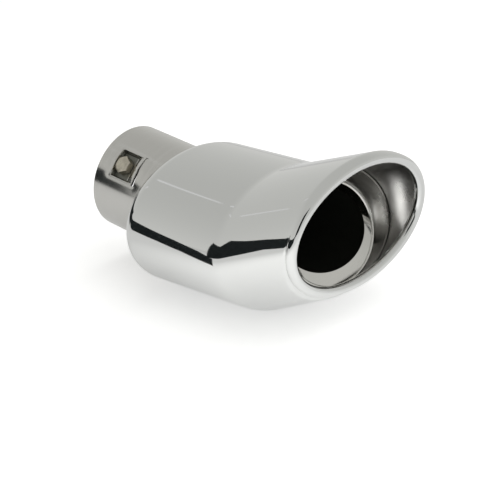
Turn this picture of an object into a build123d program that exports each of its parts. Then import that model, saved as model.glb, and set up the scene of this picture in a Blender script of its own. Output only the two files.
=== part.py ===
"""Bolt-on exhaust tip: round inlet sleeve, oval polished barrel, angled oval mouth, inner tube.

Millimetres. X runs from the inlet to the mouth, Z is up, and the part is symmetric
about the XZ plane but for the clamp seat. It is modelled as it lies, barrel on the floor.
"""
from math import cos, radians, sin, tan
import os

from build123d import *

# inlet sleeve
SLEEVE_OD = 63.0          # outside of the rolled inlet tube
SLEEVE_WALL = 1.5
SLEEVE_LENGTH = 72.0      # along its own axis, its front end stands inside the barrel
SLEEVE_PITCH = 7.2        # degrees, the sleeve falls this much toward the barrel
INLET_HEIGHT = 49.0       # centre of the inlet above the floor

# clamp seat pressed into the sleeve wall
SEAT_AROUND = 140.0       # degrees about the sleeve axis, from +Y over the top
SEAT_START = 11.6         # from the inlet edge to the seat floor
SEAT_LENGTH = 12.0        # flat floor along the sleeve
SEAT_WIDTH = 14.6         # flat floor around the sleeve
SEAT_DEPTH = 5.2          # floor below the crown of the sleeve
SEAT_RAMP = 7.2           # the mouth side of the seat climbs over this length
SEAT_DRAFT = 1.3          # the other three sides lean out by this much
SLIT_WIDTH = 1.3          # open slit where the ramp meets the sleeve
SLIT_SPAN = 18.6

# clamp bolt and its welded nut, M6
BOLT_FROM_INLET = 17.2
BOLT_SHANK = 6.0
BOLT_CLEARANCE = 0.2      # around the shank where it passes the seat floor
BOLT_FLATS = 10.0
BOLT_HEAD = 4.8
BOLT_LENGTH = 7.0         # under the head
NUT_HEIGHT = 4.0
NUT_FLATS = 10.0

# oval barrel
BARREL_WIDTH = 114.0
BARREL_HEIGHT = 79.0
SHELL_WALL = 1.2
BARREL_REAR = 50.0        # inlet plane to the flat of the rear wall
SHOULDER_LENGTH = 11.0    # rounding of the rear edge, along the barrel
SHOULDER_DEPTH = 10.0     # and across it, measured at the top

# mitre where the mouth section joins the barrel
MITRE_FROM_INLET = 129.0
MITRE_LEAN = 3.5          # degrees, top of the joint leans toward the inlet

# mouth section
MOUTH_PITCH = 19.2        # degrees, the mouth section climbs this much
MOUTH_FROM_INLET = 176.0  # measured at the height of the barrel axis
MOUTH_LEAN = 9.7          # degrees, top of the opening leans forward
MOUTH_NARROWING = 0.03    # the section loses this share of its size by the opening
LIP_ROLL = 8.7            # width of the rolled rim
LIP_BULGE = 1.0           # the rim stands proud of the section by this much
LIP_TURN = 250.0          # degrees of roll, from the outside over the front

# inner tube
TUBE_FRONT_WIDTH = 71.0
TUBE_FRONT_HEIGHT = 57.5
TUBE_WALL = 1.2
TUBE_FRONT_X = 157.8      # centre of the rolled end
TUBE_FRONT_Z = 49.1
TUBE_PITCH = 19.2         # degrees, the rolled end is cut square to the mouth section
TUBE_ROLL = 6.4           # width of the rolled end
TUBE_BULGE = 0.5          # the rolled end stands proud of the tube by this much
TUBE_TURN = 215.0
TUBE_IN_SLEEVE = 14.0     # rear end pushed into the sleeve bore

# pressed carrier between the inner tube and the mouth shell
CARRIER_FRONT = 162.2     # distance of its front edge along the mouth direction
CARRIER_DEPTH = 16.6
CARRIER_WALL = 1.0
CARRIER_FIT = 0.4         # slip fit in the mouth shell, taken up by the spot welds


def oval(centre, normal, half_width, half_height):
    """Flat oval face square to the normal, its corners always at the two sides."""
    upper = EllipticalCenterArc((0, 0), half_width, half_height, start_angle=0, arc_size=180)
    lower = EllipticalCenterArc((0, 0), half_width, half_height, start_angle=180, arc_size=180)
    return Plane(origin=centre, x_dir=(0, 1, 0), z_dir=normal) * make_face([upper, lower])


def rolled_rim(centre, normal, half_width, half_height, roll, wall, turn):
    """Sheet edge rolled inward, swept round an oval; the oval is the outline of the rim."""
    r = roll / 2
    base = Plane(origin=centre, x_dir=(0, 1, 0), z_dir=normal)
    path = base * Edge.make_ellipse(half_width - r, half_height - r)
    start = path @ 0
    section_plane = Plane(origin=start, x_dir=start - centre, z_dir=(path % 0) * -1)
    a0, a1 = radians(-14), radians(turn - 14)

    def at(radius, angle):
        return Vector(radius * cos(angle), radius * sin(angle))

    outer = CenterArc((0, 0), r, -14, turn)
    inner = CenterArc((0, 0), r - wall, -14, turn)
    close = [Line(at(r, a0), at(r - wall, a0)), Line(at(r, a1), at(r - wall, a1))]
    section = section_plane * make_face([outer, inner, *close])
    return sweep(section, path=path, is_frenet=True)


# inlet sleeve, made along X and then pitched
sleeve_r = SLEEVE_OD / 2
bore_r = sleeve_r - SLEEVE_WALL
sleeve_frame = Pos(0, 0, INLET_HEIGHT) * Rot(0, SLEEVE_PITCH, 0)
along = Rot(0, 90, 0)


def rod(radius, start, end):
    """Round bar on the X axis between two stations."""
    return Pos(start, 0, 0) * along * Cylinder(
        radius, end - start, align=(Align.CENTER, Align.CENTER, Align.MIN))


sleeve_tube = rod(sleeve_r, 0, SLEEVE_LENGTH) - rod(bore_r, 0, SLEEVE_LENGTH)

# seat frame: local X along the sleeve, local Z out through the wall
seat_frame = Rot(SEAT_AROUND - 90, 0, 0)
floor_r = sleeve_r - SEAT_DEPTH
seat_end = SEAT_START + SEAT_LENGTH
top_r = sleeve_r + 1.0


def pocket(grow):
    """Tapered block: the seat recess, or with grow the same block one wall larger."""
    x0, x1 = SEAT_START - grow, seat_end + grow * 0.7
    half = SEAT_WIDTH / 2 + grow
    z0 = floor_r - grow
    low = Pos((x0 + x1) / 2, 0, z0) * Rectangle(x1 - x0, 2 * half)
    t0, t1 = x0 - SEAT_DRAFT * 0.5, x1 + SEAT_RAMP
    high = Pos((t0 + t1) / 2, 0, top_r) * Rectangle(t1 - t0, 2 * (half + SEAT_DRAFT))
    return loft([low, high], ruled=True)


pressed = (pocket(SLEEVE_WALL) & rod(sleeve_r, 0, SLEEVE_LENGTH).rotate(Axis.X, 0)) - pocket(0)
slit_x = seat_end + SEAT_RAMP - 0.6
slit = Pos(slit_x, 0, floor_r + 0.8) * Box(
    SLIT_WIDTH, SLIT_SPAN, SEAT_DEPTH + 3, align=(Align.MIN, Align.CENTER, Align.MIN))
bolt_hole = Pos(BOLT_FROM_INLET, 0, floor_r - 4) * Cylinder(
    BOLT_SHANK / 2 + BOLT_CLEARANCE, 8, align=(Align.CENTER, Align.CENTER, Align.MIN))
inlet_sleeve = (sleeve_tube - seat_frame * pocket(SLEEVE_WALL * 0.5)) + seat_frame * pressed
inlet_sleeve = inlet_sleeve - seat_frame * slit - seat_frame * bolt_hole
inlet_sleeve = sleeve_frame * inlet_sleeve

# hex clamp bolt seated on the pressed floor
head = Pos(BOLT_FROM_INLET, 0, floor_r) * Rot(0, 0, 30) * extrude(
    RegularPolygon(BOLT_FLATS / 2, 6, major_radius=False), BOLT_HEAD)
chamfer_cone = Pos(BOLT_FROM_INLET, 0, floor_r) * Cone(
    BOLT_FLATS / 2 + 3.2, BOLT_FLATS / 2 - 0.3, BOLT_HEAD,
    align=(Align.CENTER, Align.CENTER, Align.MIN))
shank = Pos(BOLT_FROM_INLET, 0, floor_r - BOLT_LENGTH) * Cylinder(
    BOLT_SHANK / 2, BOLT_LENGTH, align=(Align.CENTER, Align.CENTER, Align.MIN))
clamp_bolt = sleeve_frame * seat_frame * ((head & chamfer_cone) + shank)

# nut welded under the seat floor
nut_top = floor_r - SLEEVE_WALL
nut = Pos(BOLT_FROM_INLET, 0, nut_top - NUT_HEIGHT) * (
    extrude(RegularPolygon(NUT_FLATS / 2, 6, major_radius=False), NUT_HEIGHT)
    - Cylinder(BOLT_SHANK / 2, NUT_HEIGHT, align=(Align.CENTER, Align.CENTER, Align.MIN)))
clamp_nut = sleeve_frame * seat_frame * nut

# oval barrel, closed at the rear but for the sleeve hole
half_w, half_h = BARREL_WIDTH / 2, BARREL_HEIGHT / 2


def barrel_body(wall):
    """Solid oval barrel, smaller by wall on every side."""
    r = half_h - wall
    x0, x1 = BARREL_REAR + wall, BARREL_REAR + SHOULDER_LENGTH
    r0 = half_h - SHOULDER_DEPTH
    far = MITRE_FROM_INLET + half_h
    crown = [Line((x0, 0), (x0, r0)),
             EllipticalCenterArc((x1, r0), x1 - x0, r - r0, start_angle=90, arc_size=90),
             Line((x1, r), (far, r)), Line((far, r), (far, 0)), Line((far, 0), (x0, 0))]
    turned = revolve(Plane.XZ * make_face(crown), Axis.X)
    return Pos(0, 0, half_h) * scale(turned, by=(1, (half_w - wall) / r, 1))


mitre_centre = Vector(MITRE_FROM_INLET, 0, half_h)
mitre_normal = Vector(cos(radians(MITRE_LEAN)), 0, sin(radians(MITRE_LEAN)))
mitre_plane = Plane(origin=mitre_centre, x_dir=(0, 1, 0), z_dir=mitre_normal)
sleeve_bar = sleeve_frame * rod(sleeve_r, 0, SLEEVE_LENGTH)
barrel = barrel_body(0) - barrel_body(SHELL_WALL)
barrel_shell = split(barrel, bisect_by=mitre_plane, keep=Keep.BOTTOM) - sleeve_bar

# mouth section: the mitre oval carried along the mouth direction to the opening
mouth_dir = Vector(cos(radians(MOUTH_PITCH)), 0, sin(radians(MOUTH_PITCH)))


def carried(side):
    """Point of the opening plane reached from the top (1) or bottom (-1) of the mitre oval."""
    start = mitre_centre + Vector(-tan(radians(MITRE_LEAN)) * half_h * side, 0, half_h * side)
    lean = tan(radians(MOUTH_LEAN))
    gap = MOUTH_FROM_INLET + lean * (start.Z - half_h) - start.X
    return start + mouth_dir * (gap / (mouth_dir.X - lean * mouth_dir.Z))


rim_top, rim_bottom = carried(1), carried(-1)
mouth_centre = (rim_top + rim_bottom) / 2
mouth_half_h = (rim_top - rim_bottom).length / 2 * (1 - MOUTH_NARROWING)
mouth_half_w = half_w * (1 - MOUTH_NARROWING)
mouth_normal = Vector(cos(radians(MOUTH_LEAN)), 0, -sin(radians(MOUTH_LEAN)))


def mouth_body(wall):
    """Solid mouth section between the mitre and the opening, smaller by wall."""
    back = oval(mitre_centre, mitre_normal, half_w - wall,
                (half_h - wall) / cos(radians(MITRE_LEAN)))
    front = oval(mouth_centre, mouth_normal, mouth_half_w - LIP_BULGE - wall,
                 mouth_half_h - LIP_BULGE - wall)
    return loft([back, front], ruled=True)


mouth_rim = rolled_rim(mouth_centre, mouth_normal, mouth_half_w, mouth_half_h,
                       LIP_ROLL, SHELL_WALL, LIP_TURN)
mouth_shell = (mouth_body(0) - mouth_body(SHELL_WALL)) + mouth_rim

# inner tube: round rear end inside the sleeve, oval front with a rolled end
tube_centre = Vector(TUBE_FRONT_X, 0, TUBE_FRONT_Z)
tube_normal = Vector(cos(radians(TUBE_PITCH)), 0, sin(radians(TUBE_PITCH)))
sleeve_dir = Vector(cos(radians(SLEEVE_PITCH)), 0, -sin(radians(SLEEVE_PITCH)))
sleeve_end = Vector(0, 0, INLET_HEIGHT) + sleeve_dir * SLEEVE_LENGTH


def tube_body(wall):
    """Solid inner tube, smaller by wall."""
    back = oval(sleeve_end, sleeve_dir, bore_r - wall, bore_r - wall)
    front = oval(tube_centre, tube_normal, TUBE_FRONT_WIDTH / 2 - TUBE_BULGE - wall,
                 TUBE_FRONT_HEIGHT / 2 - TUBE_BULGE - wall)
    rear = sleeve_frame * rod(bore_r - wall, SLEEVE_LENGTH - TUBE_IN_SLEEVE, SLEEVE_LENGTH)
    return rear + loft([back, front], ruled=True)


tube_rim = rolled_rim(tube_centre, tube_normal, TUBE_FRONT_WIDTH / 2, TUBE_FRONT_HEIGHT / 2,
                      TUBE_ROLL, TUBE_WALL, TUBE_TURN)
inner_tube = (tube_body(0) - tube_body(TUBE_WALL)) + tube_rim

# carrier: oval cup spot-welded inside the mouth shell, with a hole for the inner tube
cup_plane = Plane(origin=mouth_dir * CARRIER_FRONT, x_dir=(0, 1, 0), z_dir=mouth_dir)


def slab(depth_from, depth_to):
    """Slice square to the mouth direction, depths measured back from the carrier's front."""
    return cup_plane * Pos(0, 0, -depth_to) * Box(
        300, 300, depth_to - depth_from, align=(Align.CENTER, Align.CENTER, Align.MIN))


mouth_plane = Plane(origin=mouth_centre, x_dir=(0, 1, 0), z_dir=mouth_normal)
behind_rim = mouth_plane * Pos(0, 0, -LIP_ROLL / 2 - CARRIER_FIT) * Box(
    300, 300, 200, align=(Align.CENTER, Align.CENTER, Align.MAX))
cup = mouth_body(SHELL_WALL + CARRIER_FIT) & slab(0, CARRIER_DEPTH) & behind_rim
hollow = mouth_body(SHELL_WALL + CARRIER_FIT + CARRIER_WALL) & slab(-1, CARRIER_DEPTH - CARRIER_WALL)
tube_carrier = cup - hollow - tube_body(0)

nodes = {
    "inlet_sleeve": inlet_sleeve,
    "clamp_bolt": clamp_bolt,
    "clamp_nut": clamp_nut,
    "barrel_shell": barrel_shell,
    "mouth_shell": mouth_shell,
    "inner_tube": inner_tube,
    "tube_carrier": tube_carrier,
}

# the origin goes to the bottom centre of the whole part
box = Compound(children=[Compound(s.solids()) for s in nodes.values()]).bounding_box()
to_origin = Pos(-(box.min.X + box.max.X) / 2, -(box.min.Y + box.max.Y) / 2, -box.min.Z)

os.makedirs("parts", exist_ok=True)
for name, shape in nodes.items():
    placed = to_origin * Compound(shape.solids())
    placed.label = name
    export_step(placed, f"parts/{name}.step")
    print(name, len(placed.solids()), round(placed.volume), placed.bounding_box())
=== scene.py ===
from math import cos, pi, radians, sin, tan

import bmesh
import bpy
import numpy as np
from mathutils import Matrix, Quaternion, Vector


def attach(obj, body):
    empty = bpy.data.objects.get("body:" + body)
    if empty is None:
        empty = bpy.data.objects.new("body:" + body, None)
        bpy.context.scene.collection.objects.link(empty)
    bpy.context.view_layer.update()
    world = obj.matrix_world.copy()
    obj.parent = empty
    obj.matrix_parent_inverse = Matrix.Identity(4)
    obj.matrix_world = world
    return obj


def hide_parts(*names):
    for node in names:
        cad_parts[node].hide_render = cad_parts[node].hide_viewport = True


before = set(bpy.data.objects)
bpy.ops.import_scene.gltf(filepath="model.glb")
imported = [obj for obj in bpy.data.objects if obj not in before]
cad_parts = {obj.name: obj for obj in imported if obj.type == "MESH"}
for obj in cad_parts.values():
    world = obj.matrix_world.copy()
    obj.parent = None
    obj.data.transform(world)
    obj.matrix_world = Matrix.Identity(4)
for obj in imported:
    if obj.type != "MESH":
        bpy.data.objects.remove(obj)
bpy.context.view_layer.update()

# Inlet sleeve.
# A stainless tube rolled from 1.5 mm sheet, ground to a satin finish round the tube.
# The clamp seat is pressed into its wall in one stroke, and sheared open on the mouth side.
MM = 0.001                       # the frame is in metres, every size below in mm
INLET_X = -92.878                # from the origin to the inlet; stations below count from the inlet
INLET_HEIGHT = 49.0
SLEEVE_PITCH = radians(7.2)
SLEEVE_R = 31.5
SLEEVE_WALL = 1.5
SLEEVE_LENGTH = 72.0
SEAT_AROUND = radians(140)
SEAT_FLOOR_R = 26.3              # height of the flat floor above the sleeve's axis
SEAT_START = 11.9
SEAT_END = 22.2                  # end of the flat floor, the ramp climbs from here
RAMP_END = 29.5
RAMP_RISE = 0.97                 # share of the seat's depth that the ramp climbs back
RAMP_CURVE = 1.7                 # over 1, the ramp is steepest where it leaves the floor
SEAT_HALF = 7.3
SEAT_WALL = 1.35                 # width of the drafted side walls
REAR_SHARE = 0.8                 # the rear wall is this share of a side wall's width
SLIT_END = 31.5
SLIT_HALF = 9.3
SLIT_RAMP_SIDE = 0.35, -0.45     # shift of the slit's edge at its middle, and more at its lower end
SLIT_PLAIN_SIDE = -0.15, 0.3     # the same for the edge away from the seat
TEAR_END = -8.9                  # the slit's upper corner is torn open down to here
DRAWN_IN = 0.5                   # below the seat the sheet round it sinks by this much
DRAWN_ABOVE = 0.2                # and above the seat by this share of that
DRAWN_REACH = 2.6
DULL_REAR, DULL_FRONT, DULL_SIDE, DULL_UP = 0.8, -0.3, 1.0, 1.6   # how far past the floor the dull finish and its painted shade reach
EDGE_BREAK = 0.22                # rounding of the cut edges
FAR_COLUMNS = 132                # mesh columns round the plain side of the tube

inlet = np.array([0.0, 0.0, INLET_HEIGHT])
sleeve_axis = np.array([cos(SLEEVE_PITCH), 0, -sin(SLEEVE_PITCH)])
sleeve_up = np.array([sin(SLEEVE_PITCH), 0, cos(SLEEVE_PITCH)])
across = np.array([0.0, 1.0, 0.0])
seat_out = cos(SEAT_AROUND) * across + sin(SEAT_AROUND) * sleeve_up
seat_down = -sin(SEAT_AROUND) * across + cos(SEAT_AROUND) * sleeve_up


def smooth(t):
    """From 0 to 1 with soft ends."""
    t = np.clip(t, 0, 1)
    return t * t * (3 - 2 * t)


def seat_height(s, w):
    """Height of the sleeve's outside above its axis, s along the sleeve and w across the seat."""
    crown = np.sqrt(np.maximum(SLEEVE_R ** 2 - w ** 2, 0))
    rear = (SEAT_START - s) / (SEAT_WALL * REAR_SHARE)
    sides = (np.abs(w) - SEAT_HALF) / SEAT_WALL
    ramp = np.clip((s - SEAT_END) / (RAMP_END - SEAT_END), 0, 1)
    wall = smooth(np.hypot(np.maximum(rear, 0), np.maximum(sides, 0)))
    climb = RAMP_RISE * (1 - (1 - ramp) ** RAMP_CURVE)
    share = np.where(s >= SLIT_END, 1.0, np.maximum(wall, climb))
    outside = np.hypot(np.maximum(SEAT_START - SEAT_WALL - s, 0),
                       np.maximum(np.abs(w) - SEAT_HALF - SEAT_WALL, 0))
    outside = np.hypot(outside, np.maximum(s - SLIT_END, 0))
    side = (1 + DRAWN_ABOVE + (1 - DRAWN_ABOVE) * np.sign(w)) / 2
    sunk = DRAWN_IN * np.exp(-(outside / DRAWN_REACH) ** 2) * side
    return SEAT_FLOOR_R + (crown - sunk - SEAT_FLOOR_R) * share


def mesh_object(name, points_mm, faces):
    """Mesh in the model's frame from points in mm, counted from the inlet."""
    mesh = bpy.data.meshes.new(name)
    mesh.from_pydata(((np.asarray(points_mm) + [INLET_X, 0, 0]) * MM).tolist(), [], faces)
    mesh.update()
    obj = bpy.data.objects.new(name, mesh)
    bpy.context.scene.collection.objects.link(obj)
    return obj


def grid_faces(rows, columns, closed_rows=False):
    """Quads of a grid that closes on itself round its columns, and if asked over its rows."""
    faces = []
    for i in range(rows if closed_rows else rows - 1):
        a, b = i * columns, (i + 1) % rows * columns
        for j in range(columns):
            k = (j + 1) % columns
            faces.append((a + j, a + k, b + k, b + j))
    return faces


def finish_mesh(obj, sharp=35):
    """Outward normals and smooth shading, with edges over the sharp angle kept crisp."""
    bm = bmesh.new()
    bm.from_mesh(obj.data)
    bmesh.ops.recalc_face_normals(bm, faces=bm.faces)
    bm.to_mesh(obj.data)
    bm.free()
    for polygon in obj.data.polygons:
        polygon.use_smooth = True
    obj.data.set_sharp_from_angle(angle=radians(sharp))


def apply_modifier(obj, kind, **settings):
    """Adds one modifier, sets it and applies it to the mesh."""
    modifier = obj.modifiers.new(kind.title(), kind)
    for key, value in settings.items():
        setattr(modifier, key, value)
    depsgraph = bpy.context.evaluated_depsgraph_get()
    made = bpy.data.meshes.new_from_object(obj.evaluated_get(depsgraph))
    obj.modifiers.clear()
    obj.data = made


# the mesh's rows and columns stand closest where the pressed sheet bends
stations = np.concatenate([
    [0, 0.5, 2, 4, 6, 8, 9.2], np.linspace(9.8, SEAT_START + 0.4, 13),
    np.linspace(13, SEAT_END - 0.6, 9), np.linspace(SEAT_END - 0.3, SEAT_END + 1, 6),
    np.linspace(SEAT_END + 1.8, RAMP_END, 7),
    [SLIT_END, SLIT_END + 0.7, SLIT_END + 1.6, 34.5, 36.5, 39, 43, 48, 54, 60, 66, SLEEVE_LENGTH]])
near_seat = np.concatenate([
    np.linspace(-16, -10.4, 8), np.linspace(-9.8, -SLIT_HALF, 2),
    np.linspace(-8.95, -SEAT_HALF + 0.2, 9), np.linspace(-6.4, 6.4, 15),
    np.linspace(SEAT_HALF - 0.2, 8.95, 9), np.linspace(SLIT_HALF, 9.8, 2), np.linspace(10.4, 16, 8)])
seat_angles = np.arcsin(near_seat / SLEEVE_R)
far_angles = np.linspace(seat_angles[-1], seat_angles[0] + 2 * pi, FAR_COLUMNS)[1:-1]
angles = np.concatenate([seat_angles, far_angles])
s_grid, angle_grid = np.meshgrid(stations, angles, indexing="ij")
w_grid = SLEEVE_R * np.sin(angle_grid)
h_grid = SLEEVE_R * np.cos(angle_grid)
in_seat = np.broadcast_to(np.arange(len(angles)) < len(seat_angles), w_grid.shape)
h_grid = np.where(in_seat, seat_height(s_grid, w_grid), h_grid)

# the shear opens wider toward the lower end of the slit
lean = np.clip(w_grid / SLIT_HALF, -1, 1)
slit_zone = in_seat & (np.abs(w_grid) <= SLIT_HALF + 0.01)
for edge, (shift, opening) in ((RAMP_END, SLIT_RAMP_SIDE), (SLIT_END, SLIT_PLAIN_SIDE)):
    s_grid = np.where(np.isclose(s_grid, edge) & slit_zone, s_grid + shift + opening * lean, s_grid)
sleeve_points = (inlet + s_grid[..., None] * sleeve_axis + w_grid[..., None] * seat_down
                 + h_grid[..., None] * seat_out).reshape(-1, 3)
rows, columns = s_grid.shape
slit_row = int(np.argmin(np.abs(stations - RAMP_END)))
sleeve_faces = []
for face in grid_faces(rows, columns):
    row, column = divmod(face[0], columns)
    middle = (w_grid[row, column] + w_grid[row, (column + 1) % columns]) / 2
    by_seat = column < len(seat_angles) - 1
    in_slit = by_seat and row == slit_row and abs(middle) < SLIT_HALF
    in_tear = by_seat and row == slit_row + 1 and -SLIT_HALF < middle < TEAR_END
    if not (in_slit or in_tear):
        sleeve_faces.append(face)
sleeve = mesh_object("inlet_sleeve_satin", sleeve_points, sleeve_faces)
finish_mesh(sleeve)
apply_modifier(sleeve, "SOLIDIFY", thickness=SLEEVE_WALL * MM, offset=-1, use_even_offset=False)
apply_modifier(sleeve, "BEVEL", width=EDGE_BREAK * MM, segments=2, limit_method="ANGLE",
               angle_limit=radians(50))
finish_mesh(sleeve)


def linear(code):
    """A hex sRGB colour as linear RGBA."""
    value = [int(code[i:i + 2], 16) / 255 for i in (1, 3, 5)]
    return [v / 12.92 if v <= 0.04045 else ((v + 0.055) / 1.055) ** 2.4 for v in value] + [1.0]


def add(tree, kind, inputs=None, **settings):
    """Adds a node, sets its properties, and sets or links its inputs."""
    node = tree.nodes.new(kind)
    for key, value in settings.items():
        setattr(node, key, value)
    for key, value in (inputs or {}).items():
        if isinstance(value, bpy.types.NodeSocket):
            tree.links.new(value, node.inputs[key])
        else:
            node.inputs[key].default_value = value
    return node


def new_material(name):
    """A node material with a Principled shader alone; returns material, tree and shader."""
    material = bpy.data.materials.new(name)
    material.use_nodes = True
    tree = material.node_tree
    tree.nodes.clear()
    shader = add(tree, "ShaderNodeBsdfPrincipled")
    output = add(tree, "ShaderNodeOutputMaterial")
    tree.links.new(shader.outputs["BSDF"], output.inputs["Surface"])
    return material, tree, shader


def per_metre(size):
    """Noise scale of a pattern whose features are this many mm apart."""
    return round(1000 / size)


# Satin ground stainless: a belt leaves lines round the tube about 0.3 mm apart, drawn 0.8 mm apart
# here so that they show. They blur the reflections but keep the dark stripe readable.
satin_steel, tree, shader = new_material("stainless_satin_ground")
place = add(tree, "ShaderNodeTexCoord")
turned = add(tree, "ShaderNodeMapping", {"Vector": place.outputs["Object"],
             "Rotation": (0, -SLEEVE_PITCH, 0)}, vector_type="POINT")
lines = add(tree, "ShaderNodeMapping", {"Vector": turned.outputs[0],
            "Scale": (per_metre(0.8), per_metre(40), per_metre(40))})
grind = add(tree, "ShaderNodeTexNoise", {"Vector": lines.outputs[0], "Scale": 1.0, "Detail": 3.0})
clouds = add(tree, "ShaderNodeTexNoise", {"Vector": place.outputs["Object"],
             "Scale": per_metre(22.2), "Detail": 2.0})
rough = add(tree, "ShaderNodeMapRange", {"Value": clouds.outputs["Fac"], "From Min": 0.3,
            "From Max": 0.7, "To Min": 0.16, "To Max": 0.24})
tint = add(tree, "ShaderNodeMix", {"Factor": grind.outputs["Fac"], "A": linear("#d2d1cd"),
           "B": linear("#dddcd9")}, data_type="RGBA")
ridge = add(tree, "ShaderNodeBump", {"Height": grind.outputs["Fac"], "Strength": 0.25,
            "Distance": 0.02 * MM})
shader.inputs["Metallic"].default_value = 1.0
tree.links.new(tint.outputs["Result"], shader.inputs["Base Color"])
tree.links.new(rough.outputs[0], shader.inputs["Roughness"])
tree.links.new(ridge.outputs[0], shader.inputs["Normal"])
sleeve.data.materials.append(satin_steel)

# Dull stainless: the seat's floor lies too deep for the grinding belt and is left as the punch pressed
# it.
# Its dark grey is painted shade of the recess, a plain ground behind the bolt, with marks 2 mm apart.
seat_dull_painted_shade, tree, shader = new_material("pressed_dull_painted_shade")
place = add(tree, "ShaderNodeTexCoord")
press_marks = add(tree, "ShaderNodeTexNoise", {"Vector": place.outputs["Object"],
                  "Scale": per_metre(2), "Detail": 3.0})
tint = add(tree, "ShaderNodeMix", {"Factor": press_marks.outputs["Fac"], "A": linear("#6e6f69"),
           "B": linear("#8f908a")}, data_type="RGBA")
shader.inputs["Metallic"].default_value = 1.0
shader.inputs["Roughness"].default_value = 0.42
tree.links.new(tint.outputs["Result"], shader.inputs["Base Color"])
sleeve.data.materials.append(seat_dull_painted_shade)
# the seat's floor gets the dull finish and the painted shade of its recess
for polygon in sleeve.data.polygons:
    point = np.array(polygon.center) / MM - [INLET_X, 0, 0] - inlet
    s, w, h = point @ sleeve_axis, point @ seat_down, point @ seat_out
    over_floor = SEAT_START - DULL_REAR < s < SEAT_END + DULL_FRONT and abs(w) < SEAT_HALF + DULL_SIDE
    polygon.material_index = 1 if over_floor and 0 < h < SEAT_FLOOR_R + DULL_UP else 0
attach(sleeve, "root")
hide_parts("inlet_sleeve")

# Clamp bolt.
# An M6 hex screw, zinc plated and a little worn on its head, seated on the pressed floor.
# It is the part that grips the exhaust pipe when the tip is fitted.
BOLT_STATION = 16.5
HEAD_FLATS = 9.4
HEAD_HEIGHT = 4.8
HEAD_CROWN_R = 4.2
SHANK_R = 3.0
SHANK_LENGTH = 7.0
TIP_CHAMFER = 0.6
HEAD_CHAMFER = radians(27)
BOLT_SIDES = 96                  # mesh columns round the bolt
turn = np.arange(BOLT_SIDES) / BOLT_SIDES * 2 * pi
hex_r = HEAD_FLATS / 2 / np.cos((turn + pi / 6) % (pi / 3) - pi / 6)
chamfer_height = HEAD_HEIGHT - (hex_r - HEAD_CROWN_R) * tan(HEAD_CHAMFER)


def bolt_ring(radius, height):
    """One ring round the bolt; height is measured from the seat floor."""
    radius = np.broadcast_to(radius, turn.shape)[:, None]
    height = np.broadcast_to(height, turn.shape)[:, None]
    return (inlet + BOLT_STATION * sleeve_axis + radius * np.cos(turn)[:, None] * sleeve_axis
            + radius * np.sin(turn)[:, None] * seat_down + (SEAT_FLOOR_R + height) * seat_out)


bolt_profile = [
    (SHANK_R - TIP_CHAMFER, -SHANK_LENGTH), (SHANK_R, TIP_CHAMFER - SHANK_LENGTH), (SHANK_R, 0.0),
    (HEAD_FLATS / 2 - 0.15, 0.0), (HEAD_FLATS / 2 - 0.1, 0.25), (hex_r - 0.05, 0.3), (hex_r, 0.45),
    (hex_r, chamfer_height - 0.08), (hex_r - 0.12, chamfer_height), (HEAD_CROWN_R, HEAD_HEIGHT - 0.05),
    (HEAD_CROWN_R - 0.25, HEAD_HEIGHT), (HEAD_CROWN_R * 0.5, HEAD_HEIGHT - 0.12)]
bolt_points = np.concatenate([bolt_ring(radius, height) for radius, height in bolt_profile])
bolt_faces = grid_faces(len(bolt_profile), BOLT_SIDES)
bolt_faces.append(tuple(range(BOLT_SIDES)))
bolt_faces.append(tuple(len(bolt_points) - 1 - i for i in range(BOLT_SIDES)))
bolt = mesh_object("clamp_bolt_hex", bolt_points, bolt_faces)
finish_mesh(bolt, sharp=22)

# Zinc plating over rolled steel: warm grey, with patches about 3 mm across and finer scuffs from
# the spanner, which break up the highlights on the flats.
zinc, tree, shader = new_material("zinc_plated_steel_worn")
place = add(tree, "ShaderNodeTexCoord")
scuff = add(tree, "ShaderNodeTexNoise", {"Vector": place.outputs["Object"],
            "Scale": per_metre(1.111), "Detail": 5.0, "Roughness": 0.65})
patches = add(tree, "ShaderNodeTexNoise", {"Vector": place.outputs["Object"],
              "Scale": per_metre(2.86), "Detail": 2.0})
tint = add(tree, "ShaderNodeMix", {"Factor": patches.outputs["Fac"], "A": linear("#a8a294"),
           "B": linear("#e8e2d2")}, data_type="RGBA")
rough = add(tree, "ShaderNodeMapRange", {"Value": scuff.outputs["Fac"], "From Min": 0.3,
            "From Max": 0.7, "To Min": 0.25, "To Max": 0.5})
pits = add(tree, "ShaderNodeBump", {"Height": scuff.outputs["Fac"], "Strength": 0.5,
           "Distance": 0.1 * MM})
shader.inputs["Metallic"].default_value = 1.0
tree.links.new(tint.outputs["Result"], shader.inputs["Base Color"])
tree.links.new(rough.outputs[0], shader.inputs["Roughness"])
tree.links.new(pits.outputs[0], shader.inputs["Normal"])
bolt.data.materials.append(zinc)
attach(bolt, "root")
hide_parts("clamp_bolt")

# Weld nut.
# An M6 nut welded under the seat floor, seen only by looking into the inlet.
# The solid already has its shape, so it only gets the plating.
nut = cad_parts["clamp_nut"]
nut.data.materials.clear()
nut.data.materials.append(zinc)

# Outer shell.
# Two drawn stainless shells of 1.2 mm sheet, welded on a mitre, ground flush and buffed to a mirror.
# The rear wall closes on the sleeve, and the mouth's edge is rolled over into a slim round lip.
BARREL_HALF_W, BARREL_HALF_H = 57.0, 39.5
SHELL_WALL = 1.2
BARREL_REAR = 50.0               # the flat rear wall, from the inlet
SHOULDER_LENGTH, SHOULDER_DEPTH = 11.0, 10.0
MITRE_X = 129.0
MITRE_LEAN = radians(3.5)
MITRE_SOFTENING = 3.0            # the weld is blended over this much on each side
MOUTH_PITCH = radians(19.2)
MOUTH_X = 176.0
MOUTH_LEAN = radians(9.7)
WALL_HALF_W, WALL_HALF_H = 53.4, 41.0   # the wall's oval where it meets the lip's plane
WALL_LIFT = 1.1                  # the middle of that oval above the middle of the opening
LIP_R = 2.9
LIP_HALF_W, LIP_HALF_H = 54.1, 39.1     # outermost line of the lip
LIP_LIFT = 0.9
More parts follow.
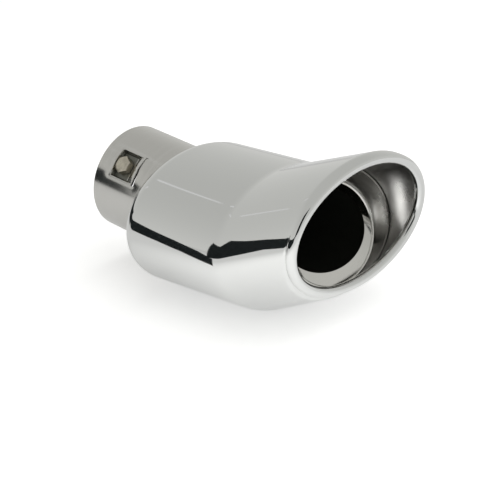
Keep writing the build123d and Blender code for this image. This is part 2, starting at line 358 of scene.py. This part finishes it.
LIP_JOIN = radians(-36)          # where the wall runs into the lip, from the lip's widest line
TOP_JOIN = radians(20)           # the same at the top, where the wall stands above the lip
LIP_END = radians(236)           # the sheet's cut edge, turned back inside the mouth
FLARE = 4.5                      # the wall begins to turn toward the lip this far from the opening
AROUND = 288                     # mesh columns round the shell, the inner tube and the carrier

theta = np.arange(AROUND) / AROUND * 2 * pi
ys, zs = np.sin(theta), np.cos(theta)
mouth_dir = np.array([cos(MOUTH_PITCH), 0, sin(MOUTH_PITCH)])
mouth_normal = np.array([cos(MOUTH_LEAN), 0, -sin(MOUTH_LEAN)])
mouth_upright = np.array([sin(MOUTH_LEAN), 0, cos(MOUTH_LEAN)])


def barrel_point(x, share=1.0):
    """Points of the barrel's oval at station x, drawn in toward its axis by share."""
    x, share = np.broadcast_to(x, theta.shape), np.broadcast_to(share, theta.shape)
    return np.stack([x, BARREL_HALF_W * share * ys, BARREL_HALF_H * (1 + share * zs)], axis=1)


def off_sleeve(points):
    """Distance of points from the sleeve's outside."""
    offset = points - inlet
    along = offset @ sleeve_axis
    return np.linalg.norm(offset - along[:, None] * sleeve_axis, axis=1) - SLEEVE_R


def rear_wall(share):
    """Rear wall and shoulder of the barrel at a share of its full size."""
    depth = np.clip((share * BARREL_HALF_H - BARREL_HALF_H + SHOULDER_DEPTH) / SHOULDER_DEPTH, 0, 1)
    return barrel_point(BARREL_REAR + SHOULDER_LENGTH * (1 - np.sqrt(1 - depth ** 2)), share)


# halve the range until it gives the share of its size at which the rear wall meets the sleeve
low, high = np.full(AROUND, 0.3), np.full(AROUND, 1.0)
for _ in range(40):
    middle = (low + high) / 2
    inside = off_sleeve(rear_wall(middle)) < 0
    low, high = np.where(inside, middle, low), np.where(inside, high, middle)
hole = high
flat_edge = 1 - SHOULDER_DEPTH / BARREL_HALF_H
first_turn = np.arcsin(np.clip((hole - flat_edge) * BARREL_HALF_H / SHOULDER_DEPTH, 0, 1))
flat_run = np.maximum(flat_edge - hole, 0) * BARREL_HALF_H
turn_run = (pi / 2 - first_turn) * SHOULDER_DEPTH
shell_rings = []
for t in np.linspace(0, 1, 26):
    along = t * (flat_run + turn_run)
    angle = first_turn + np.maximum(along - flat_run, 0) / SHOULDER_DEPTH
    on_turn = 1 - SHOULDER_DEPTH * (1 - np.sin(angle)) / BARREL_HALF_H
    shell_rings.append(rear_wall(np.where(along < flat_run, hole + along / BARREL_HALF_H, on_turn)))

mitre = barrel_point(MITRE_X)
mitre[:, 0] -= tan(MITRE_LEAN) * (mitre[:, 2] - BARREL_HALF_H)


def carried(side):
    """Point of the opening plane reached from the top (1) or bottom (-1) of the mitre."""
    start = np.array([MITRE_X - tan(MITRE_LEAN) * BARREL_HALF_H * side, 0, BARREL_HALF_H * (1 + side)])
    gap = MOUTH_X + tan(MOUTH_LEAN) * (start[2] - BARREL_HALF_H) - start[0]
    return start + mouth_dir * gap / (mouth_dir[0] - tan(MOUTH_LEAN) * mouth_dir[2])


rim_top, rim_bottom = carried(1), carried(-1)
mouth_centre = (rim_top + rim_bottom) / 2


def mouth_oval(half_w, half_h):
    """An oval in the plane of the opening."""
    return mouth_centre + half_w * ys[:, None] * across + half_h * zs[:, None] * mouth_upright


mouth_edge = mouth_oval(WALL_HALF_W, WALL_HALF_H) + WALL_LIFT * mouth_upright
mouth_run = mouth_edge - mitre
mouth_length = np.linalg.norm(mouth_run, axis=1)[:, None]
mouth_run /= mouth_length
barrel_line = barrel_point(BARREL_REAR + SHOULDER_LENGTH)
before, after = mitre - [MITRE_SOFTENING, 0, 0], mitre + mouth_run * MITRE_SOFTENING
for t in (0.02, 0.1, 0.2, 0.35, 0.5, 0.65, 0.8, 0.92, 0.98):
    shell_rings.append(barrel_line + (before - barrel_line) * t)
for t in np.linspace(0, 1, 13):
    shell_rings.append((1 - t) ** 2 * before + 2 * t * (1 - t) * mitre + t ** 2 * after)
flare_start = mouth_edge - mouth_run * FLARE
for t in (0.02, 0.1, 0.25, 0.4, 0.55, 0.7, 0.85, 0.95):
    shell_rings.append(after + (flare_start - after) * t)

lip_centre = mouth_oval(LIP_HALF_W - LIP_R, LIP_HALF_H - LIP_R) + LIP_LIFT * mouth_upright
lip_out = (ys / LIP_HALF_W)[:, None] * across + (zs / LIP_HALF_H)[:, None] * mouth_upright
lip_out /= np.linalg.norm(lip_out, axis=1)[:, None]


def lip_ring(centre, out, forward, radius, angle):
    """A ring on a rolled edge, turned by angle from the outward to the forward direction."""
    return centre + radius * (np.cos(angle) * out + np.sin(angle) * forward)


join_at = (LIP_JOIN + (TOP_JOIN - LIP_JOIN) * np.clip(zs, 0, 1))[:, None]
join = lip_ring(lip_centre, lip_out, mouth_normal, LIP_R, join_at)
join_dir = -np.sin(join_at) * lip_out + np.cos(join_at) * mouth_normal
reach = np.linalg.norm(join - flare_start, axis=1)[:, None]
for t in np.linspace(0, 1, 12)[:-1]:
    start_pull, join_pull = (t ** 3 - 2 * t ** 2 + t) * reach, (t ** 3 - t ** 2) * reach
    shell_rings.append((2 * t ** 3 - 3 * t ** 2 + 1) * flare_start + start_pull * mouth_run
                       + (3 * t ** 2 - 2 * t ** 3) * join + join_pull * join_dir)
for t in np.linspace(0, 1, 44):
    turned_by = join_at + (LIP_END - join_at) * t
    shell_rings.append(lip_ring(lip_centre, lip_out, mouth_normal, LIP_R, turned_by))


def inner_rings(rings, wall):
    """The same sheet one wall further in, found square to the outside surface."""
    grid = np.array(rings)
    along_sheet = np.gradient(grid, axis=0)
    round_sheet = np.roll(grid, -1, axis=1) - np.roll(grid, 1, axis=1)
    normal = np.cross(round_sheet, along_sheet)
    normal /= np.linalg.norm(normal, axis=2)[..., None]
    return grid + normal * wall


def sheet_object(name, rings, wall):
    """A closed sheet of even thickness from its outside rings."""
    loops = list(rings) + list(inner_rings(rings, wall)[::-1])
    obj = mesh_object(name, np.concatenate(loops), grid_faces(len(loops), AROUND, closed_rows=True))
    finish_mesh(obj, sharp=40)
    return obj


shell = sheet_object("outer_shell_polished", shell_rings, SHELL_WALL)

# Buffed mirror steel: hair-fine polishing lines along the part, drawn 0.7 mm apart so that they show,
# and a faint waviness of the sheet, 31 mm across, which bends the edges of reflections slightly.
mirror_steel, tree, shader = new_material("stainless_mirror_buffed")
place = add(tree, "ShaderNodeTexCoord")
lines = add(tree, "ShaderNodeMapping", {"Vector": place.outputs["Object"],
            "Scale": (per_metre(16.7), per_metre(0.7143), per_metre(0.7143))})
hair = add(tree, "ShaderNodeTexNoise", {"Vector": lines.outputs[0], "Scale": 1.0, "Detail": 2.0})
waves = add(tree, "ShaderNodeTexNoise", {"Vector": place.outputs["Object"],
            "Scale": per_metre(31), "Detail": 1.0})
rough = add(tree, "ShaderNodeMapRange", {"Value": hair.outputs["Fac"], "From Min": 0.35,
            "From Max": 0.75, "To Min": 0.035, "To Max": 0.07})
sway = add(tree, "ShaderNodeBump", {"Height": waves.outputs["Fac"], "Strength": 0.3,
           "Distance": 0.2 * MM})
shader.inputs["Metallic"].default_value = 1.0
shader.inputs["Base Color"].default_value = linear("#e6e7e6")
tree.links.new(rough.outputs[0], shader.inputs["Roughness"])
tree.links.new(sway.outputs[0], shader.inputs["Normal"])
shell.data.materials.append(mirror_steel)

# Satin pressed steel: drawn over a die and left as rolled, with a grain 0.9 mm across and dull clouds
# of about 14 mm. Highlights spread into soft bow ties. The shell's inside is left so up to its edge.
pressed_steel, tree, shader = new_material("stainless_pressed_satin")
place = add(tree, "ShaderNodeTexCoord")
clouds = add(tree, "ShaderNodeTexNoise", {"Vector": place.outputs["Object"],
             "Scale": per_metre(14.3), "Detail": 3.0})
fine = add(tree, "ShaderNodeTexNoise", {"Vector": place.outputs["Object"],
           "Scale": per_metre(0.909), "Detail": 2.0})
rough = add(tree, "ShaderNodeMapRange", {"Value": clouds.outputs["Fac"], "From Min": 0.3,
            "From Max": 0.7, "To Min": 0.26, "To Max": 0.36})
tint = add(tree, "ShaderNodeMix", {"Factor": clouds.outputs["Fac"], "A": linear("#b6b5b1"),
           "B": linear("#c6c5c2")}, data_type="RGBA")
grain = add(tree, "ShaderNodeBump", {"Height": fine.outputs["Fac"], "Strength": 0.2,
            "Distance": 0.05 * MM})
shader.inputs["Metallic"].default_value = 1.0
tree.links.new(tint.outputs["Result"], shader.inputs["Base Color"])
tree.links.new(rough.outputs[0], shader.inputs["Roughness"])
tree.links.new(grain.outputs[0], shader.inputs["Normal"])
shell.data.materials.append(pressed_steel)
satin_from = len(shell_rings) * AROUND
for index, polygon in enumerate(shell.data.polygons):
    polygon.material_index = 1 if index >= satin_from else 0
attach(shell, "root")
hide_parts("barrel_shell", "mouth_shell")

# Inner tube.
# A thinner stainless tube from the sleeve to the mouth, its front end rolled over and polished.
# Behind the roll a bright cone runs in to black painted shade of the deep bore, so the opening reads as a
# dark hole.
TUBE_HALF_W, TUBE_HALF_H = 35.5, 29.75
TUBE_WALL = 0.8
TUBE_X, TUBE_Z = 158.1, 48.15
TUBE_PITCH = MOUTH_PITCH         # the rolled end is square to the mouth section
TUBE_ROLL_R = 1.1
TUBE_ROLL_START, TUBE_ROLL_END = radians(-8), radians(170)
TUBE_BULGE = 0.5                 # the rolled end stands proud of the tube by this much
CORE_HALF_W, CORE_HALF_H = 32.2, 22.6   # from the rolled edge a bright cone runs in to this oval
CORE_DEPTH, CORE_LEAN, CORE_LIFT = 3.5, 3.0, 2.6   # the oval leans back at the top
BRIGHT_ROWS = 3                  # mesh rows past that oval before the painted shade begins
TUBE_IN_SLEEVE = 14.0
TUBE_PLAY = 0.02
tube_centre = np.array([TUBE_X, 0, TUBE_Z])
tube_normal = np.array([cos(TUBE_PITCH), 0, sin(TUBE_PITCH)])
tube_upright = np.array([-sin(TUBE_PITCH), 0, cos(TUBE_PITCH)])
tube_r = SLEEVE_R - SLEEVE_WALL - TUBE_PLAY


def sleeve_ring(station):
    """A ring of the tube inside the sleeve's bore."""
    return inlet + station * sleeve_axis + tube_r * (ys[:, None] * across + zs[:, None] * sleeve_up)


def tube_oval(half_w, half_h):
    """An oval in the plane of the tube's front end."""
    return tube_centre + half_w * ys[:, None] * across + half_h * zs[:, None] * tube_upright


tube_rings = [sleeve_ring(s) for s in np.linspace(SLEEVE_LENGTH - TUBE_IN_SLEEVE, SLEEVE_LENGTH, 4)]
tube_start = tube_rings[-1]
tube_front = tube_oval(TUBE_HALF_W - TUBE_BULGE, TUBE_HALF_H - TUBE_BULGE)
for t in np.linspace(0.04, 0.965, 14):
    tube_rings.append(tube_start + (tube_front - tube_start) * t)
tube_lip = tube_oval(TUBE_HALF_W - TUBE_ROLL_R, TUBE_HALF_H - TUBE_ROLL_R)
tube_out = (ys / TUBE_HALF_W)[:, None] * across + (zs / TUBE_HALF_H)[:, None] * tube_upright
tube_out /= np.linalg.norm(tube_out, axis=1)[:, None]
for angle in np.linspace(TUBE_ROLL_START, TUBE_ROLL_END, 24):
    tube_rings.append(lip_ring(tube_lip, tube_out, tube_normal, TUBE_ROLL_R, angle))
cone_start = tube_rings[-1]
cone_end = tube_oval(CORE_HALF_W, CORE_HALF_H) + CORE_LIFT * tube_upright
cone_end -= (CORE_DEPTH + CORE_LEAN * zs)[:, None] * tube_normal
for t in (0.06, 0.2, 0.4, 0.6, 0.8, 0.95, 1.0):
    tube_rings.append(cone_start + (cone_end - cone_start) * t)
inner_tube = sheet_object("inner_tube_rolled", tube_rings, TUBE_WALL)

# Bright rolled steel, less finely buffed than the shell: its reflections are a little blurred, with
# a grain 1.7 mm across.
tube_steel, tree, shader = new_material("stainless_rolled_bright")
place = add(tree, "ShaderNodeTexCoord")
drawn = add(tree, "ShaderNodeTexNoise", {"Vector": place.outputs["Object"],
            "Scale": per_metre(1.667), "Detail": 3.0})
rough = add(tree, "ShaderNodeMapRange", {"Value": drawn.outputs["Fac"], "From Min": 0.3,
            "From Max": 0.7, "To Min": 0.1, "To Max": 0.2})
grain = add(tree, "ShaderNodeBump", {"Height": drawn.outputs["Fac"], "Strength": 0.15,
            "Distance": 0.04 * MM})
shader.inputs["Metallic"].default_value = 1.0
shader.inputs["Base Color"].default_value = linear("#dcdbd7")
tree.links.new(rough.outputs[0], shader.inputs["Roughness"])
tree.links.new(grain.outputs[0], shader.inputs["Normal"])
inner_tube.data.materials.append(tube_steel)

# Painted shade of the deep bore: matt near-black, with an orange-peel bump about 1 mm across. It keeps
# the bore dark and free of highlights.
bore_painted_shade, tree, shader = new_material("painted_bore_shade_black")
place = add(tree, "ShaderNodeTexCoord")
skin = add(tree, "ShaderNodeTexNoise", {"Vector": place.outputs["Object"],
           "Scale": per_metre(1.111), "Detail": 2.0})
tint = add(tree, "ShaderNodeMix", {"Factor": skin.outputs["Fac"], "A": linear("#0d0e0a"),
           "B": linear("#191a14")}, data_type="RGBA")
peel = add(tree, "ShaderNodeBump", {"Height": skin.outputs["Fac"], "Strength": 0.3,
           "Distance": 0.1 * MM})
shader.inputs["Roughness"].default_value = 0.8
shader.inputs["Specular IOR Level"].default_value = 0.2
tree.links.new(tint.outputs["Result"], shader.inputs["Base Color"])
tree.links.new(peel.outputs[0], shader.inputs["Normal"])
inner_tube.data.materials.append(bore_painted_shade)
# from here back through the bore the tube is painted shade
painted_shade_from = (len(tube_rings) - 1 + BRIGHT_ROWS) * AROUND
for index, polygon in enumerate(inner_tube.data.polygons):
    polygon.material_index = 1 if index >= painted_shade_from else 0
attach(inner_tube, "root")
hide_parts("inner_tube")

# Carrier.
# A pressed dish of 1 mm stainless sheet, spot-welded inside the mouth by its flange. The inner tube
# passes through it, and its cut front edge is left raw. Its satin finish is that of the shell's inside.
CARRIER_FRONT = 162.2            # along the mouth direction
CARRIER_DEPTH = 16.6
CARRIER_WALL = 1.0
CARRIER_FIT = 0.6                # gap to the inside of the shell
CARRIER_FLANGE = 7.0
CORNER_SHARE = 0.6               # the rounded corner takes no more of the plate than this


def at_depth(line_from, line_dir, depth):
    """The point of each line at a depth along the mouth section."""
    return line_from + line_dir * ((depth - line_from @ mouth_dir) / (line_dir @ mouth_dir))[:, None]


shrink = SHELL_WALL + CARRIER_FIT
wall_back = mitre * [1, 1 - shrink / BARREL_HALF_W, 1]
wall_back[:, 2] = BARREL_HALF_H + (mitre[:, 2] - BARREL_HALF_H) * (1 - shrink / BARREL_HALF_H)
wall_front = mouth_oval(WALL_HALF_W - shrink, WALL_HALF_H - shrink) + WALL_LIFT * mouth_upright
wall_dir = wall_front - wall_back
tube_dir = tube_front - tube_start
flange_front = at_depth(wall_back, wall_dir, CARRIER_FRONT)
flange_back = at_depth(wall_back, wall_dir, CARRIER_FRONT - CARRIER_FLANGE)
corner = at_depth(wall_back, wall_dir, CARRIER_FRONT - CARRIER_DEPTH)
hug = at_depth(tube_start, tube_dir, CARRIER_FRONT - CARRIER_DEPTH)
inward = hug - corner
gap = np.linalg.norm(inward, axis=1)[:, None]
inward /= gap
plate_edge = corner + inward * np.minimum(CARRIER_DEPTH - CARRIER_FLANGE, gap * CORNER_SHARE)
carrier_rings = [hug + (plate_edge - hug) * t for t in (0, 0.3, 0.6, 0.9)]
for t in np.linspace(0, 1, 12):
    carrier_rings.append((1 - t) ** 2 * plate_edge + 2 * t * (1 - t) * corner + t ** 2 * flange_back)
for t in (0.3, 0.6, 0.9, 1.0):
    carrier_rings.append(flange_back + (flange_front - flange_back) * t)
carrier = sheet_object("tube_carrier_dish", carrier_rings, CARRIER_WALL)
carrier.data.materials.append(pressed_steel)
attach(carrier, "root")
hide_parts("tube_carrier")

# Studio.
# A white table under a plain pale sky, with one wide soft lamp above it. In the metal the table is a
# painted pool of light that grows greyer away from the object, and the camera sees table and sky as white
# with the soft shadow.
TABLE_SIZE = 6.0                 # metres
TABLE_DROP = 0.2                 # below the object's lowest point, in mm
TABLE_GLOW = 0.385               # light that only the camera sees
TABLE_GLOW_IN_METAL = 0.29       # light that only the metal sees
BRIGHT_PATCH = (0.08, -0.1, 0.0)   # metres; centre of the painted pool of light that the metal sees on the table
PATCH_START, PATCH_END = 0.06, 0.21
FAR_TABLE = 0.66                 # share of the brightness that is left beyond the patch
bpy.ops.mesh.primitive_plane_add(size=TABLE_SIZE, location=(0, 0, -TABLE_DROP * MM))
floor = bpy.context.object
floor.name = "studio_floor"

# White laminate, matt: it takes the shadow and gives no highlight.
white_table, tree, shader = new_material("white_table")
rays = add(tree, "ShaderNodeLightPath")
place = add(tree, "ShaderNodeTexCoord")
# painted pool of light: for glossy rays the table's colour and glow fade away from BRIGHT_PATCH
from_patch = add(tree, "ShaderNodeVectorMath", {0: place.outputs["Object"], 1: BRIGHT_PATCH},
                 operation="DISTANCE")
fade = add(tree, "ShaderNodeMapRange", {"Value": from_patch.outputs["Value"],
           "From Min": PATCH_START, "From Max": PATCH_END, "To Min": 1.0, "To Max": FAR_TABLE},
           interpolation_type="SMOOTHSTEP")
tone = add(tree, "ShaderNodeMix", {"Factor": rays.outputs["Is Glossy Ray"], "A": 1.0,
           "B": fade.outputs[0]})
paint = add(tree, "ShaderNodeMix", {"Factor": 1.0, "A": linear("#f2f2f2"),
            "B": tone.outputs["Result"]}, data_type="RGBA", blend_type="MULTIPLY")
mirrored = add(tree, "ShaderNodeMath", {0: rays.outputs["Is Glossy Ray"], 1: TABLE_GLOW_IN_METAL},
               operation="MULTIPLY")
faded = add(tree, "ShaderNodeMath", {0: mirrored.outputs[0], 1: tone.outputs["Result"]},
            operation="MULTIPLY")
glow = add(tree, "ShaderNodeMath", {0: rays.outputs["Is Camera Ray"], 1: TABLE_GLOW,
           2: faded.outputs[0]}, operation="MULTIPLY_ADD")
shader.inputs["Roughness"].default_value = 0.9
shader.inputs["Specular IOR Level"].default_value = 0.0
shader.inputs["Emission Color"].default_value = linear("#ffffff")
tree.links.new(paint.outputs["Result"], shader.inputs["Base Color"])
tree.links.new(glow.outputs[0], shader.inputs["Emission Strength"])
floor.data.materials.append(white_table)

# Pale sky, a little darker overhead: it gives the metal its soft grey, and the camera sees it white.
SKY_LOW, SKY_HIGH = "#d3d3d0", "#c0c0bd"   # at the horizon, and from SKY_TURN upward
SKY_TURN = 0.7                   # height on the sky's dome, from 0 to 1
world = bpy.data.worlds.new("studio")
bpy.context.scene.world = world
world.use_nodes = True
tree = world.node_tree
tree.nodes.clear()
place = add(tree, "ShaderNodeTexCoord")
split = add(tree, "ShaderNodeSeparateXYZ", {0: place.outputs["Generated"]})
height = add(tree, "ShaderNodeMapRange", {"Value": split.outputs["Z"], "From Min": 0.0,
             "From Max": SKY_TURN})
sky = add(tree, "ShaderNodeMix", {"Factor": height.outputs[0], "A": linear(SKY_LOW),
          "B": linear(SKY_HIGH)}, data_type="RGBA")
rays = add(tree, "ShaderNodeLightPath")
shown = add(tree, "ShaderNodeMix", {"Factor": rays.outputs["Is Camera Ray"], "A": sky.outputs["Result"],
            "B": linear("#ffffff")}, data_type="RGBA")
background = add(tree, "ShaderNodeBackground", {"Color": shown.outputs["Result"], "Strength": 1.0})
add(tree, "ShaderNodeOutputWorld", {"Surface": background.outputs[0]})

# The lamp is wide for a soft shadow, and the metal doesn't mirror it.
lamp_data = bpy.data.lights.new("overhead", "AREA")
lamp_data.shape = "DISK"
lamp_data.size = 2.1
lamp_data.energy = 9.0
lamp = bpy.data.objects.new("overhead", lamp_data)
lamp.location = (0.45, 0.2, 0.95)
lamp.rotation_euler = lamp.location.to_track_quat("Z", "Y").to_euler()
lamp.visible_glossy = False
bpy.context.scene.collection.objects.link(lamp)

# Studio cards.
# Black flags, two thin lit gaps and two small bright cards, all upright and seen by the metal alone.
# It mirrors them as its dark stripes and light lines. Three small ones stand inside the mouth, for the
# band of light and the dark foot on its satin wall. None is a part of the object.
DIAGONAL = 0.707                 # the flags stand at 45 degrees to the barrel
GAP_X = -200                     # the lit gaps stand this far behind the origin, in mm


def card(name, corners, material):
    """A card from its corners in mm, counted from the origin, that only the metal sees."""
    mesh = bpy.data.meshes.new(name)
    mesh.from_pydata([[v * MM for v in corner] for corner in corners], [], [tuple(range(len(corners)))])
    obj = bpy.data.objects.new(name, mesh)
    bpy.context.scene.collection.objects.link(obj)
    obj.data.materials.append(material)
    obj.visible_camera = False
    obj.visible_diffuse = False
    obj.visible_shadow = False


def flag(name, out, *outline):
    """A flag beside the barrel, out mm from the origin, from its corners (along, height)."""
    corners = [(DIAGONAL * (along - out), -DIAGONAL * (along + out), height) for along, height in outline]
    card(name, corners, flag_cloth)


def glowing(name, strength):
    """The material of a white card that gives light of its own."""
    material, tree, shader = new_material(name)
    shader.inputs["Base Color"].default_value = linear("#000000")
    shader.inputs["Emission Color"].default_value = linear("#ffffff")
    shader.inputs["Emission Strength"].default_value = strength
    return material


# Black cotton, matt: it gives the stripes their even, slightly cold black.
flag_cloth, tree, shader = new_material("black_flag_cloth")
shader.inputs["Base Color"].default_value = linear("#262a2b")
shader.inputs["Roughness"].default_value = 1.0
shader.inputs["Specular IOR Level"].default_value = 0.0
lit_gap = glowing("lit_gap_of_tent", 0.66)
bounce_card = glowing("bounce_card", 2.4)

flag("flag_by_sleeve", 190, (-200, 48), (-60, 48), (-16, 45), (-16, 100), (-60, 96), (-200, 96))
flag("flag_by_barrel", 100, (3, 55), (17, 43), (32, 35.5), (46, 26.5), (64, 8), (66, 30),
     (58, 40.5), (43, 48.5), (13, 59), (3, 64))
flag("flag_by_mouth", 50, (61.5, 39), (69.5, 40), (81, 45), (92, 50.5), (150, 43), (420, 20),
     (420, 90), (114, 73), (83, 71), (71, 67.5), (61, 66))
card("bounce_in_mouth", [(58, 44, 45), (65, 44, 44), (65, 44, 51), (58, 44, 50)], bounce_card)
card("bounce_on_flange", [(48, 44, 41), (50, 44, 41), (50, 44, 43), (48, 44, 43)], bounce_card)
card("flag_in_mouth", [(28, 43, 12), (64, 43, 12), (64, 43, 37), (28, 43, 37)], flag_cloth)
# a dark card round the camera, which the rim mirrors
card("camera_and_stand", [(470, -780, 60), (780, -470, 60), (780, -470, 780), (470, -780, 780)],
     flag_cloth)
card("gap_by_barrel", [(GAP_X, -26, 236), (GAP_X, -34, 236), (GAP_X, -61, 306), (GAP_X, -53, 306)],
     lit_gap)
card("gap_by_mouth", [(GAP_X, -58, 183), (GAP_X, -66, 183), (GAP_X, -75, 222), (GAP_X, -67, 222)],
     lit_gap)

# Camera.
# A long lens, solved from the outlines together with the shape: it looks down on the mouth's side.
camera_data = bpy.data.cameras.new("camera")
camera_data.lens = 108.0
camera_data.sensor_width = 36.0
camera_data.clip_end = 20.0
camera = bpy.data.objects.new("camera", camera_data)
HEADING, PITCH, ROLL = radians(44.48), radians(21.45), radians(-3.01)
forward = Vector((-cos(HEADING) * cos(PITCH), sin(HEADING) * cos(PITCH), -sin(PITCH)))
camera.rotation_mode = "QUATERNION"
camera.rotation_quaternion = forward.to_track_quat("-Z", "Y") @ Quaternion((0, 0, 1), ROLL)
camera.location = (0.5715, -0.5568, 0.3363)
bpy.context.scene.collection.objects.link(camera)
bpy.context.scene.camera = camera

bpy.context.scene.view_settings.view_transform = "Standard"
